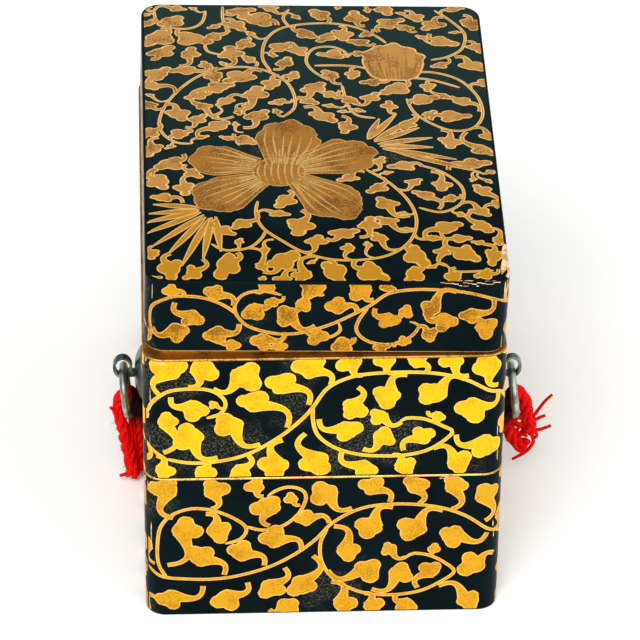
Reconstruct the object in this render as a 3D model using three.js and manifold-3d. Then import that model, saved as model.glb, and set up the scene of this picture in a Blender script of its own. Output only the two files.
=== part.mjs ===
import * as THREE from 'three';
import { mergeVertices } from 'three/addons/utils/BufferGeometryUtils.js';
import Module from 'manifold-3d';

const wasm = await Module();
wasm.setup();

// Stacked food box with two trays and a lift-off lid. Millimetres, +Z up, front towards -Y.

// Trays
const tierWidth = 80;
const tierDepth = 109;
const bottomHeight = 40;
const middleHeight = 33.5;
const wall = 4;
const floorThickness = 3;
const cornerRadius = 4.5;
const innerRadius = 1;
const shoulder = 2.6; // ledge that carries the piece above
const lipHeight = 3.2; // inner lip standing on that ledge
const lipPlay = 0.3;

// Lid, which sits a little high on its left
const lidHeight = 19.7;
const lidInset = 0.45;
const lidWall = 1.8;
const lidTop = 2.4;
const lidCrown = 0.7;
const lidEdge = 0.6;
const lidTilt = 1.4;
const lidRest = 0.3;

// Side fittings: each side has its own place along Y, reach of the eyelet and outward lean of the ring
const fittingHeight = 30.4;
const leftFittingAt = { along: -3.5, reach: 4.6, lean: -6 };
const rightFittingAt = { along: -5.5, reach: 5.7, lean: 6 };
const rosetteRadius = 6.4;
const rosetteDome = 1.8;
const rosetteRim = 0.3;
const holeRadius = 1.45;
const loopRise = 1.9;
const loopHalfWidth = 2.25;
const loopHalfHeight = 3;
const bandThickness = 0.6;
const bandWidth = 1.7;
const shankHeight = 1.4;
const legLength = 5;
const ringRadius = 5.9;
const ringWire = 1.8;
const ringPlay = 0.3;

// Silk cord stubs: how far out from the side, along Y, and up
const cordDiameter = 2.4;
const leftCordRoute = [
  [2.6, -5.4, 1.6], [3.3, -5.2, 7], [4.5, -4.8, 13], [5.55, -4.2, 18.6], [5.5, -3.9, 22.2], [3.6, -3.5, 24.8],
  [1.75, -3.1, 22.2], [1.28, -2.9, 18.6], [1.3, -2.8, 13], [1.3, -2.8, 7], [1.35, -2.8, 1.6],
];
const rightCordRoute = [
  [10.2, -6.1, 12.6], [10.5, -5.9, 15.5], [9.7, -5.6, 18.6], [8.9, -5.4, 22], [6.9, -5.5, 24.8],
  [5, -5.7, 22.2], [4.75, -5.8, 18.8], [5.2, -5.8, 15], [6.2, -6, 12], [7.8, -6.4, 10], [9.8, -6.9, 9],
];

const side = tierWidth / 2;
const lidSeat = bottomHeight + middleHeight;

// Rounded rectangle about the origin
function roundedRect(width, depth, radius) {
  const x = width / 2 - radius;
  const y = depth / 2 - radius;
  const shape = new THREE.Shape();
  shape.absarc(x, y, radius, 0, Math.PI / 2);
  shape.absarc(-x, y, radius, Math.PI / 2, Math.PI);
  shape.absarc(-x, -y, radius, Math.PI, Math.PI * 1.5);
  shape.absarc(x, -y, radius, Math.PI * 1.5, Math.PI * 2);
  return shape;
}

// Upright slab with rounded plan corners, standing on the given level
function slab(inset, radius, height, level) {
  const shape = roundedRect(tierWidth - 2 * inset, tierDepth - 2 * inset, radius);
  const geometry = new THREE.ExtrudeGeometry(shape, {
    depth: height,
    bevelEnabled: false,
    curveSegments: 4,
  });
  return solid(geometry.translate(0, 0, level));
}

// Elevation of the lid: upright sides, rounded upper edges, slightly crowned top
function lidElevation(span) {
  const half = span / 2;
  const eave = lidHeight - lidCrown;
  const shape = new THREE.Shape();
  shape.moveTo(-half, 0);
  shape.lineTo(half, 0);
  shape.absarc(half - lidEdge, eave - lidEdge, lidEdge, 0, Math.PI / 2);
  shape.quadraticCurveTo(0, lidHeight + lidCrown, lidEdge - half, eave);
  shape.absarc(lidEdge - half, eave - lidEdge, lidEdge, Math.PI / 2, Math.PI);
  return shape;
}

// The elevation drawn in XZ and run along Y over the given length
function alongY(shape, length, curveSegments) {
  const geometry = new THREE.ExtrudeGeometry(shape, { depth: length, bevelEnabled: false, curveSegments });
  return geometry.rotateX(Math.PI / 2).translate(0, length / 2, 0);
}

function solid(geometry) {
  geometry.deleteAttribute('normal');
  geometry.deleteAttribute('uv');
  const merged = mergeVertices(geometry, 1e-4);
  const mesh = new wasm.Mesh({
    numProp: 3,
    vertProperties: new Float32Array(merged.attributes.position.array),
    triVerts: new Uint32Array(merged.index.array),
  });
  return new wasm.Manifold(mesh);
}

function geometryOf(manifold) {
  const mesh = manifold.getMesh();
  const geometry = new THREE.BufferGeometry();
  geometry.setAttribute('position', new THREE.BufferAttribute(mesh.vertProperties, 3));
  geometry.setIndex(new THREE.BufferAttribute(mesh.triVerts, 1));
  geometry.computeVertexNormals();
  return geometry;
}

// Hole for a fitting's shank through one side of the bottom tray
function shankHole(direction, along) {
  const geometry = new THREE.CylinderGeometry(holeRadius, holeRadius, wall * 3, 16);
  geometry.rotateZ(Math.PI / 2);
  return solid(geometry.translate(direction * side, along, fittingHeight));
}

// A tray: outer block, lip above the shoulder, hollow above the floor
function tray(height, floorLevel) {
  const lip = slab(shoulder, cornerRadius - 1.5, lipHeight + 1, height - 1);
  const hollow = slab(wall, innerRadius, height + lipHeight, floorLevel);
  return slab(0, cornerRadius, height, 0).add(lip).subtract(hollow);
}

function bottomTray() {
  const holes = shankHole(1, rightFittingAt.along).add(shankHole(-1, leftFittingAt.along));
  return tray(bottomHeight, floorThickness).subtract(holes);
}

// The middle tray's underside is recessed over the lip of the tray below
function middleTray() {
  const recess = lipHeight + lipPlay;
  const socket = slab(shoulder - lipPlay, cornerRadius - 1.2, recess + 1, -1);
  return tray(middleHeight, recess + floorThickness).subtract(socket);
}

function lidShell() {
  const width = tierWidth - 2 * lidInset;
  const depth = tierDepth - 2 * lidInset;
  const front = solid(alongY(lidElevation(width), depth, 6));
  const flank = alongY(lidElevation(depth), width, 6).rotateZ(Math.PI / 2);
  const plan = slab(lidInset, cornerRadius, lidHeight, 0);
  const hollow = slab(lidInset + lidWall, innerRadius, lidHeight - lidTop + 1, -1);
  return plan.intersect(front).intersect(solid(flank)).subtract(hollow);
}

// Domed washer behind the eyelet, turned about the X axis
function rosette() {
  const steps = 7;
  const profile = [new THREE.Vector2(holeRadius, 0), new THREE.Vector2(rosetteRadius, 0)];
  for (let i = 0; i <= steps; i++) {
    const radius = rosetteRadius + (holeRadius - rosetteRadius) * (i / steps);
    const fall = (radius - holeRadius) / (rosetteRadius - holeRadius);
    profile.push(new THREE.Vector2(radius, rosetteRim + (rosetteDome - rosetteRim) * (1 - fall * fall)));
  }
  profile.push(profile[0].clone());
  return new THREE.LatheGeometry(profile, 32).rotateZ(-Math.PI / 2);
}

// Strip eyelet: oval loop, shank through the wall, two legs spread flat inside
function eyelet(reach) {
  const innerWidth = loopHalfWidth - bandThickness;
  const innerHeight = loopHalfHeight - bandThickness;
  const disc = new THREE.Shape().absellipse(0, 0, loopHalfWidth, loopHalfHeight, 0, Math.PI * 2);
  const eye = new THREE.Shape().absellipse(0, 0, innerWidth, innerHeight, 0, Math.PI * 2);
  const outer = solid(alongY(disc, bandWidth, 12).translate(reach, 0, loopRise));
  const inner = solid(alongY(eye, bandWidth * 2, 12).translate(reach, 0, loopRise));
  const inside = wall + bandThickness;
  const length = reach - bandThickness + inside;
  const shank = new THREE.BoxGeometry(length, bandWidth, shankHeight).translate(length / 2 - inside, 0, 0);
  const legs = new THREE.BoxGeometry(bandThickness, bandWidth, legLength * 2);
  legs.translate(bandThickness / 2 - inside, 0, 0);
  return geometryOf(outer.add(solid(shank)).add(solid(legs)).subtract(inner));
}

function ring() {
  return new THREE.TorusGeometry(ringRadius, ringWire / 2, 10, 32).rotateY(Math.PI / 2);
}

// Cord along a smooth route through the given stations
function cord(route, direction) {
  const points = route.map(([out, y, z]) => new THREE.Vector3(direction * (side + out), y, z));
  const path = new THREE.CatmullRomCurve3(points);
  const section = new THREE.Shape().absarc(0, 0, cordDiameter / 2, 0, Math.PI * 2);
  const steps = Math.round(path.getLength() / cordDiameter);
  return new THREE.ExtrudeGeometry(section, {
    steps,
    extrudePath: path,
    bevelEnabled: false,
    curveSegments: 4,
  });
}

const lacquer = { color: 0x0f2126, roughness: 0.3, metalness: 0 };
const pewter = { color: 0x8a8f8a, roughness: 0.35, metalness: 1 };
const silk = { color: 0xd3201c, roughness: 0.6, metalness: 0 };

function piece(name, geometry, finish) {
  const mesh = new THREE.Mesh(geometry, new THREE.MeshStandardMaterial(finish));
  mesh.name = name;
  return mesh;
}

// The ring hangs in the bottom of the eyelet's loop
function fitting(word, place) {
  const group = new THREE.Group();
  const washer = piece(`rosette_${word}`, rosette(), pewter);
  const loop = piece(`eyelet_${word}`, eyelet(place.reach), pewter);
  const hoop = piece(`ring_${word}`, ring(), pewter);
  const wireLevel = loopRise - loopHalfHeight + bandThickness + ringPlay + ringWire / 2;
  const hanger = new THREE.Group();
  hoop.position.z = -ringRadius;
  hanger.add(hoop);
  hanger.position.set(place.reach, 0, wireLevel);
  hanger.rotation.y = -THREE.MathUtils.degToRad(place.lean);
  group.add(washer, loop, hanger);
  group.position.set(0, place.along, fittingHeight);
  return group;
}

const foodBox = new THREE.Group();
foodBox.name = 'stacked_food_box';

const bottom = piece('bottom_tier', geometryOf(bottomTray()), lacquer);
const middle = piece('middle_tier', geometryOf(middleTray()), lacquer);
middle.position.z = bottomHeight;

const lid = piece('lid', geometryOf(lidShell()), lacquer);
const lidHalf = side - lidInset;
const lidGroup = new THREE.Group();
lid.position.x = -lidHalf;
lidGroup.add(lid);
lidGroup.position.set(lidHalf, 0, lidSeat + lidRest);
lidGroup.rotation.y = THREE.MathUtils.degToRad(lidTilt);

const rightFitting = fitting('right', rightFittingAt);
rightFitting.position.x = side;
const leftFitting = fitting('left', leftFittingAt);
leftFitting.position.x = -side;
leftFitting.rotation.z = Math.PI;

const leftCord = piece('silk_cord_left', cord(leftCordRoute, -1), silk);
const rightCord = piece('silk_cord_right', cord(rightCordRoute, 1), silk);

foodBox.add(bottom, middle, lidGroup, leftFitting, rightFitting, leftCord, rightCord);

export default foodBox;
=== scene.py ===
import random
from math import atan2, copysign, cos, dist, hypot, pi, radians, sin, sqrt, tau

import bmesh
import bpy
from mathutils import Matrix, Vector
from mathutils.geometry import delaunay_2d_cdt


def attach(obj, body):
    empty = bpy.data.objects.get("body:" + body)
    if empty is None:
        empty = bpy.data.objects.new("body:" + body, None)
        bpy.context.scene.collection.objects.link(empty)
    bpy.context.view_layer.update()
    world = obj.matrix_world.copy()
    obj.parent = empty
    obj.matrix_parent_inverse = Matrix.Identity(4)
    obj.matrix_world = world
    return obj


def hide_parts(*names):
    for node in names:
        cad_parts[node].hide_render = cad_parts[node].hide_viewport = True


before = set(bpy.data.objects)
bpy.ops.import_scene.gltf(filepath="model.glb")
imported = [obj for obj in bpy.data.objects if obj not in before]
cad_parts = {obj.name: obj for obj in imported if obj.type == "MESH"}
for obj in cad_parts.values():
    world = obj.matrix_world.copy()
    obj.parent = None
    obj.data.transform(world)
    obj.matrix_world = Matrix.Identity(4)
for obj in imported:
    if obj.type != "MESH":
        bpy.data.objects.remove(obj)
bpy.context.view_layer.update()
mm = 0.001


# small helpers

def linear(hexCode):  # sRGB hex to the linear colour that shaders take
    parts = [int(hexCode[i:i + 2], 16) / 255 for i in (1, 3, 5)]
    return [c / 12.92 if c <= 0.04045 else ((c + 0.055) / 1.055) ** 2.4 for c in parts] + [1]


def polar(x, y, length, angle):  # the point that far off in that direction
    return x + length * cos(angle), y + length * sin(angle)


def deselectAll():
    if bpy.context.mode != "OBJECT":
        bpy.ops.object.mode_set(mode="OBJECT")
    bpy.ops.object.select_all(action="DESELECT")


def pick(piece):
    deselectAll()
    piece.select_set(True)
    bpy.context.view_layer.objects.active = piece


def editing(piece, kind="EDGE", chosen=lambda item: False):  # edit mode, only the chosen items selected
    pick(piece)
    bpy.ops.object.mode_set(mode="EDIT")
    bpy.ops.mesh.select_mode(type=kind)
    bpy.ops.mesh.select_all(action="DESELECT")
    mesh = bmesh.from_edit_mesh(piece.data)
    for item in mesh.edges if kind == "EDGE" else mesh.faces:
        item.select = chosen(item)
    bmesh.update_edit_mesh(piece.data)
    return mesh


def finishEdit(piece):
    bmesh.update_edit_mesh(piece.data)
    bpy.ops.object.mode_set(mode="OBJECT")


def mergeAll(piece, gap):  # points closer than the gap become one; stays in edit mode, all selected
    editing(piece)
    bpy.ops.mesh.select_all(action="SELECT")
    bpy.ops.mesh.remove_doubles(threshold=gap * mm)


def freeze():  # place, turn and size go into the mesh
    bpy.ops.object.transform_apply(location=True, rotation=True, scale=True)


def cuboid(centre, size):  # in mm
    deselectAll()
    bpy.ops.mesh.primitive_cube_add(size=1, location=[c * mm for c in centre])
    piece = bpy.context.object
    piece.scale = [c * mm for c in size]
    freeze()
    return piece


def applied(piece, kind, **settings):
    modifier = piece.modifiers.new(kind.title(), kind)
    for key, value in settings.items():
        setattr(modifier, key, value)
    pick(piece)
    bpy.ops.object.modifier_apply(modifier=modifier.name)


def combine(piece, tool, operation):
    applied(piece, "BOOLEAN", object=tool, operation=operation, solver="EXACT")
    bpy.data.objects.remove(tool)


def joined(pieces, name):
    deselectAll()
    for piece in pieces:
        piece.select_set(True)
    bpy.context.view_layer.objects.active = pieces[0]
    bpy.ops.object.join()
    pieces[0].name = name
    return pieces[0]


def placed(name, data):  # a new object in the scene
    made = bpy.data.objects.new(name, data)
    bpy.context.collection.objects.link(made)
    return made


def dress(piece, finishes):
    for name in finishes:
        piece.data.materials.append(finish[name])


def settle(piece, nodes):
    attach(piece, "root")
    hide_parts(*nodes)


def smooth(stations, step):  # curve through the stations
    ends = [stations[0]] + list(stations) + [stations[-1]]
    points = []
    for a, b, c, d in zip(ends, ends[1:], ends[2:], ends[3:]):
        count = max(2, round(dist(b, c) / step))
        for i in range(count):
            t = i / count
            points.append(tuple(
                0.5 * (2 * q + (r - p) * t + (2 * p - 5 * q + 4 * r - s) * t * t
                       + (3 * q - p - 3 * r + s) * t ** 3)
                for p, q, r, s in zip(a, b, c, d)))
    return points + [tuple(stations[-1])]


# camera at the photo's angle: long lens from the front, a little left and above

camera = {"focalPixels": 4600, "frame": 640, "sensor": 36, "clip": (0.05, 20),
          "heading": 2.68, "pitch": 37.44, "roll": 0.74, "place": (-38.3, -844.8, 689.7)}


def addCamera():
    psi, pitch, roll = (radians(camera[k]) for k in ("heading", "pitch", "roll"))
    ahead = Vector((sin(psi) * cos(pitch), cos(psi) * cos(pitch), -sin(pitch)))
    level = Vector((cos(psi), -sin(psi), 0))
    rise = level.cross(ahead)
    right = cos(roll) * level + sin(roll) * rise
    up = cos(roll) * rise - sin(roll) * level
    data = bpy.data.cameras.new("camera")
    data.sensor_width = camera["sensor"]
    data.lens = camera["focalPixels"] / camera["frame"] * camera["sensor"]
    data.clip_start, data.clip_end = camera["clip"]
    eye = placed("camera", data)
    turn = Matrix((right, up, -ahead)).transposed().to_4x4()
    eye.matrix_world = Matrix.Translation(Vector(camera["place"]) * mm) @ turn
    bpy.context.scene.camera = eye


addCamera()
print("camera set")


# materials

def node(tree, kind, links=None, **settings):  # one node with its settings and links
    made = tree.nodes.new(kind)
    for key, value in settings.items():
        if key == "stops":
            for element, (position, colour) in zip(made.color_ramp.elements, value):
                element.position = position
                element.color = linear(colour) if isinstance(colour, str) else (colour, colour, colour, 1)
        elif key in made.bl_rna.properties:
            setattr(made, key, value)
        else:
            made.inputs[key.replace("_", " ")].default_value = value
    for socket, source in (links or {}).items():
        if isinstance(source, bpy.types.NodeSocket):
            tree.links.new(source, made.inputs[socket])
        else:
            made.inputs[socket].default_value = source
    return made


def newMaterial(name, **values):  # values go on the shader's own sockets
    material = bpy.data.materials.new(name)
    material.use_nodes = True
    tree = material.node_tree
    for key, value in values.items():
        tree.nodes["Principled BSDF"].inputs[key.replace("_", " ")].default_value = value
    return material, tree, {"Vector": node(tree, "ShaderNodeTexCoord").outputs["Object"]}


def surface(tree, colour, height=None, strength=0, depth=0):  # base colour and a fine relief, depth in mm
    shader = tree.nodes["Principled BSDF"]
    tree.links.new(colour, shader.inputs["Base Color"])
    if height is not None:
        bump = node(tree, "ShaderNodeBump", {"Height": height}, Strength=strength, Distance=depth * mm)
        tree.links.new(bump.outputs[0], shader.inputs["Normal"])


def shifted(tree, at, colour, start, end, far):  # colour that changes to another between two places along Y
    along = node(tree, "ShaderNodeSeparateXYZ", at).outputs["Y"]
    share = node(tree, "ShaderNodeMapRange", {"Value": along}, From_Min=start * mm, From_Max=end * mm)
    mixed = node(tree, "ShaderNodeMix", {0: share.outputs[0], 6: colour, 7: linear(far)}, data_type="RGBA")
    return mixed.outputs[2]


# urushi lacquer over wood, brushed and polished: deep blue-black, rubbed brown in places;
# the top is paler towards the back as a painted reflection; the grit is drawn coarser than it is, so that it
# shows
# the top's paler blue-green towards the back is a painted reflection
lacquer = {"black": "#01090c", "haze": "#041417", "paintedBackReflection": "#1a2c29", "rubbed": "#4a4430", "cloud": 16,
           "grit": 0.45, "paintedBackReflectionSpan": (-38, 40), "roughness": 0.3, "ior": 1.54, "gloss": 0.025}


def lacquerMaterial(name, wear, paintedBackReflection=False):
    material, tree, at = newMaterial(name, Roughness=lacquer["roughness"], IOR=lacquer["ior"],
                                     Specular_IOR_Level=lacquer["gloss"])
    cloud = node(tree, "ShaderNodeTexNoise", at, Scale=1 / (lacquer["cloud"] * mm), Detail=3).outputs["Fac"]
    speck = node(tree, "ShaderNodeTexNoise", at, Scale=1 / (lacquer["grit"] * mm), Detail=2).outputs["Fac"]
    tone = node(tree, "ShaderNodeValToRGB", {"Fac": cloud},
                stops=[(0.35, lacquer["black"]), (0.7, lacquer["haze"])]).outputs["Color"]
    if paintedBackReflection:  # painted reflection on the top, strongest towards the back
        tone = shifted(tree, at, tone, *lacquer["paintedBackReflectionSpan"], lacquer["paintedBackReflection"])
    patch = node(tree, "ShaderNodeValToRGB", {"Fac": cloud}, stops=[(0.62 - wear, 0.0), (0.7 - wear, 1.0)])
    dust = node(tree, "ShaderNodeValToRGB", {"Fac": speck}, stops=[(0.5, 0.0), (0.62, 1.0)])
    worn = node(tree, "ShaderNodeMath", {0: patch.outputs["Color"], 1: dust.outputs["Color"]},
                operation="MULTIPLY")
    mixed = node(tree, "ShaderNodeMix", {0: worn.outputs[0], 6: tone, 7: linear(lacquer["rubbed"])},
                 data_type="RGBA")
    surface(tree, mixed.outputs[2], speck, 0.05, 0.05)
    return material


# gold powder sprinkled on wet lacquer: satin metal, mottled where the powder is thin;
# its grain is drawn coarser than it is, so that it shows
# the front span paints a reflection on the lid's top: its gold turns yellower towards the front
gold = {"grain": 0.4, "roughness": 0.42, "front": (-8, -52)}


def goldMaterial(name, thick, thin, front=None, blotchSize=5, metallic=0.9):
    material, tree, at = newMaterial(name, Metallic=metallic, Roughness=gold["roughness"])
    blotch = node(tree, "ShaderNodeTexNoise", at, Scale=1 / (blotchSize * mm), Detail=3)
    grain = node(tree, "ShaderNodeTexNoise", at, Scale=1 / (gold["grain"] * mm), Detail=2).outputs["Fac"]
    blend = node(tree, "ShaderNodeMath", {0: blotch.outputs["Fac"], 1: grain}, operation="ADD")
    colour = node(tree, "ShaderNodeValToRGB", {"Fac": blend.outputs[0]},
                  stops=[(0.82, thin), (1.0, thick)]).outputs["Color"]
    if front:  # painted reflection: the gold turns yellower towards the front edge
        colour = shifted(tree, at, colour, *gold["front"], front)
    surface(tree, colour, grain, 0.12, 0.08)
    return material


# chalky ground laid bare where edges are rubbed and chipped: pale, matt, stained
ground = {"pale": "#e2c096", "stained": "#b48a56", "stain": 2.2, "roughness": 0.8}


def groundMaterial():
    material, tree, at = newMaterial("bare_chalk_ground", Roughness=ground["roughness"])
    stain = node(tree, "ShaderNodeTexNoise", at, Scale=1 / (ground["stain"] * mm), Detail=3)
    tone = node(tree, "ShaderNodeValToRGB", {"Fac": stain.outputs["Fac"]},
                stops=[(0.42, ground["stained"]), (0.56, ground["pale"])])
    surface(tree, tone.outputs["Color"])
    return material


# silvered copper, cast and worn: grey with olive tarnish, soft highlights; a darker copy is painted shade
pewter = {"tarnish": 3, "roughness": 0.34}


def pewterMaterial(name, bright, dull):
    material, tree, at = newMaterial(name, Metallic=1, Roughness=pewter["roughness"])
    stain = node(tree, "ShaderNodeTexNoise", at, Scale=1 / (pewter["tarnish"] * mm), Detail=4).outputs["Fac"]
    tone = node(tree, "ShaderNodeValToRGB", {"Fac": stain}, stops=[(0.4, dull), (0.62, bright)])
    surface(tree, tone.outputs["Color"], stain, 0.2, 0.1)
    return material


# filament silk, dyed red and loosely plied: bright strands with dark furrows;
# the fibres are drawn coarser than they are, so that they show
# the darkest red, near the wall and high in the loop, is painted shade
silk = {"red": "#e60301", "deep": "#a80201", "paintedShade": "#1a0202", "paintedShadeHeight": (14, 18), "fibre": 0.3,
        "roughness": 0.6, "gloss": 0.1}


def silkMaterial(name, unshaded, paintedShade):  # painted shade inside the loop, darker near the wall and high up
    material, tree, at = newMaterial(name, Roughness=silk["roughness"], Specular_IOR_Level=silk["gloss"])
    fibre = node(tree, "ShaderNodeTexNoise", at, Scale=1 / (silk["fibre"] * mm), Detail=2).outputs["Fac"]
    tone = node(tree, "ShaderNodeValToRGB", {"Fac": fibre}, stops=[(0.36, silk["deep"]), (0.56, silk["red"])])
    where = node(tree, "ShaderNodeSeparateXYZ", at)
    out = node(tree, "ShaderNodeMath", {0: where.outputs["X"]}, operation="ABSOLUTE")
    near, high = (node(tree, "ShaderNodeMapRange", {"Value": source}, From_Min=start * mm, From_Max=end * mm)
                  for source, start, end in ((out.outputs[0], unshaded, paintedShade),
                                             (where.outputs["Z"], *silk["paintedShadeHeight"])))
    paintedShadeMask = node(tree, "ShaderNodeMath", {0: near.outputs[0], 1: high.outputs[0]}, operation="MULTIPLY")
    mixed = node(tree, "ShaderNodeMix",
                 {0: paintedShadeMask.outputs[0], 6: tone.outputs["Color"], 7: linear(silk["paintedShade"])}, data_type="RGBA")
    surface(tree, mixed.outputs[2], fibre, 0.3, 0.1)
    return material


finish = {
    "lacquer": lacquerMaterial("black_urushi_lacquer", 0.0),
    "wornLacquer": lacquerMaterial("rubbed_urushi_lacquer", 0.105),
    # the top's copy grows paler towards the back: painted reflection
    "topLacquer": lacquerMaterial("urushi_lacquer_with_painted_reflection", 0.0, True),
    # the third colour of the top's golds is a painted reflection at the front
    "topGold": goldMaterial("aged_gold_powder", "#efb05a", "#b47a38", "#eca61c"),
    "topLine": goldMaterial("aged_gold_line", "#fac97f", "#eab462", "#eeb84c", 5, 0.5),
    "petalGold": goldMaterial("thin_gold_powder", "#cf8e38", "#9c6424", None, 6),
    "petalLine": goldMaterial("thin_gold_vein", "#f8c878", "#d09a48"),
    "middleGold": goldMaterial("bright_gold_powder", "#f6bc16", "#e6a016"),
    "middleLine": goldMaterial("bright_gold_line", "#fccb58", "#f2b43a"),
    "bottomGold": goldMaterial("warm_gold_powder", "#d6a01e", "#ba8616"),
    "bottomLine": goldMaterial("warm_gold_line", "#f4bf5c", "#e2a244"),
    "lidGold": goldMaterial("rubbed_gold_powder", "#c88c1a", "#8a5c16", None, 4),
    "lidLine": goldMaterial("rubbed_gold_line", "#dea84a", "#b07c30"),
    # darker gold for the rim under the lid: painted shade
    "ledge": goldMaterial("gold_ledge_in_painted_shade", "#b4843a", "#70501e"),
    "bottomEdge": goldMaterial("rubbed_gold_edge", "#e8b45c", "#a87430"),
    "worn": groundMaterial(),
    "metal": pewterMaterial("worn_silvered_copper", "#b6beb9", "#78807a"),
    # darker copy for rosettes and eyelets: painted shade
    "metalInPaintedShade": pewterMaterial("tarnished_silvered_copper_in_painted_shade", "#7c8680", "#3a413c"),
    # both silks darken near the wall: painted shade
    "silkLeft": silkMaterial("plied_red_silk_left", 43.9, 42.6),
    "silkRight": silkMaterial("plied_red_silk_right", 47.4, 46.2),
}
print("materials made")


# silk cord stubs, looped over the lower bar of each ring; the cut ends fray

cord = {"diameter": 2.4, "plies": 4, "ply": 0.78, "lay": 0.82, "pitch": 13, "step": 0.5, "fray": 0.48,
        "fuzz": 90, "hair": 0.09,  # loose hairs: how many, and how thick
        "exits": {"left": (-43.4, -3.5, 19.4), "right": (46.9, -5.5, 19.4)},
        "left": [(-42.6, -5.4, 1.6), (-43.3, -5.2, 7), (-44.5, -4.8, 13), (-45.55, -4.2, 18.6),
                 (-45.5, -3.9, 22.2), (-43.6, -3.5, 24.8), (-41.75, -3.1, 22.2), (-41.28, -2.9, 18.6),
                 (-41.3, -2.8, 13), (-41.3, -2.8, 7), (-41.35, -2.8, 1.6)],
        "right": [(50.2, -6.1, 12.6), (50.5, -5.9, 15.5), (49.7, -5.6, 18.6), (48.9, -5.4, 22),
                  (46.9, -5.5, 24.8), (45, -5.7, 22.2), (44.75, -5.8, 18.8), (45.2, -5.8, 15),
                  (46.2, -6, 12), (47.8, -6.4, 10), (49.8, -6.9, 9)],
        "frays": {"left": [[(-45.6, -4.4, 20), (-46.7, -5, 20.4), (-47.6, -5.4, 21.6)],
                           [(-42.8, -5.8, 3), (-44.2, -6.2, 2.2), (-45.8, -6.5, 1.9)],
                           [(-43.2, -4.8, 18), (-42.6, -4.6, 12), (-41.8, -4.6, 6), (-41.5, -4.6, 1)],
                           [(-42.4, -4.3, 17), (-42, -4.3, 11), (-41.5, -4.2, 5), (-41.4, -4.3, 0.9)],
                           [(-45, -5.4, 16), (-44.2, -6, 11), (-43.2, -6.4, 6), (-42.6, -6.6, 1.2)],
                           [(-44.2, -5.4, 17), (-43.6, -5.8, 11), (-42.6, -6.3, 5), (-42, -6.4, 0.9)]],
                  "right": [[(50.8, -5.9, 16.5), (52.4, -6.2, 19.6), (53.8, -6.4, 22.2),
                             (55.3, -6.6, 24.2)],
                            [(50.6, -6, 13.2), (52.8, -6.3, 13.6), (55.4, -6.6, 15)],
                            [(51, -5.8, 15.6), (52.8, -6, 17), (54, -6.2, 17.7)],
                            [(51, -6.2, 12.4), (51.5, -6.5, 10.2), (50.6, -6.8, 8.4), (49, -6.9, 6.8),
                             (46.7, -6.8, 5.2)],
                            [(47.4, -6, 10), (48.4, -6.4, 8.9), (49.1, -6.5, 7.2)],
                            [(45.2, -5.8, 20.5), (47, -6, 17.6), (48.6, -6, 16.6), (49.8, -5.9, 15.4)],
                            [(45, -5.9, 17.6), (46.6, -6.2, 16.4), (48.2, -6.2, 15.2), (50, -6.1, 13.6)],
                            [(49.4, -5.6, 19), (48, -5.8, 17.4), (46.8, -5.8, 15.6), (46, -6, 13)],
                            [(49.8, -5.8, 17.4), (48.6, -6, 15.4), (47.6, -6.2, 13.4), (47.4, -6.4, 11)],
                            [(50.2, -5.9, 15), (49.2, -6.2, 13.2), (48.4, -6.4, 12), (48, -6.5, 10.6)],
                            [(45.4, -5.8, 14.6), (46.8, -6.2, 13.2), (48.4, -6.3, 12.6), (50, -6.3, 11.6)],
                            [(46, -5.8, 16.4), (47.2, -5.6, 14.6), (48.6, -5.8, 14), (49.8, -6, 12.6)],
                            [(50.4, -6, 15), (51.8, -6.6, 13.8), (52.2, -6.6, 12), (51.2, -6.4, 10.8)]]}}


def strands(name, lines, radius, colour, taper=1.0):  # round strands along lines, closed at both ends
    curve = bpy.data.curves.new(name, "CURVE")
    curve.dimensions = "3D"
    curve.bevel_depth = radius * mm
    curve.bevel_resolution = 2
    curve.use_fill_caps = True
    for line in lines:
        path = curve.splines.new("POLY")
        path.points.add(len(line) - 1)
        for i, (spot, p) in enumerate(zip(path.points, line)):
            spot.co = (*(c * mm for c in p), 1)
            spot.radius = 1 + (taper - 1) * i / (len(line) - 1)
    pick(placed(name, curve))
    bpy.ops.object.convert(target="MESH")
    piece = bpy.context.object
    mergeAll(piece, 0.001)
    bpy.ops.mesh.normals_make_consistent(inside=False)
    finishEdit(piece)
    bpy.ops.object.shade_smooth()
    dress(piece, [colour])
    return piece


def twisted(line):  # the plies' own lines, wound round the cord's line
    plies = [[] for _ in range(cord["plies"])]
    last, travelled = len(line) - 1, 0
    for i, p in enumerate(line):
        travelled += (p - line[max(i - 1, 0)]).length
        ahead = (line[min(i + 1, last)] - line[max(i - 1, 0)]).normalized()
        across = ahead.cross(Vector((0, 1, 0))).normalized()
        other = ahead.cross(across)
        loose = max(0, 1 - min(i, last - i) / 12) ** 2  # plies part towards the cut ends
        for k, ply in enumerate(plies):
            turn = tau * (k / cord["plies"] + travelled / cord["pitch"]) + 0.5 * sin(travelled * 0.9 + 2 * k)
            out = across * cos(turn) + other * sin(turn)
            slack = 1 + 0.6 * loose + 0.16 * sin(travelled * 1.3 + 5 * k)
            ply.append(p + out * cord["lay"] * slack)
    return plies


def loosened(line, seed):  # short hairs that stand off the cord, none below the table
    draw = random.Random(seed)
    hairs = []
    for _ in range(cord["fuzz"]):
        root = line[draw.randrange(len(line) - 1)]
        away = Vector((draw.uniform(-1, 1), draw.uniform(-1, 0.6), draw.uniform(-1, 0.7))).normalized()
        start = root + away * 1.1
        drift = Vector([draw.uniform(-1, 1) for _ in range(3)]) * 0.7
        hair = [start - away * 0.5 - drift * 0.4, start, start + away * 0.45 + drift * 0.6,
                start + away * 0.6 + drift * 1.5]
        hairs.append([(p.x, p.y, max(p.z, 0.15)) for p in hair])
    return hairs


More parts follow.
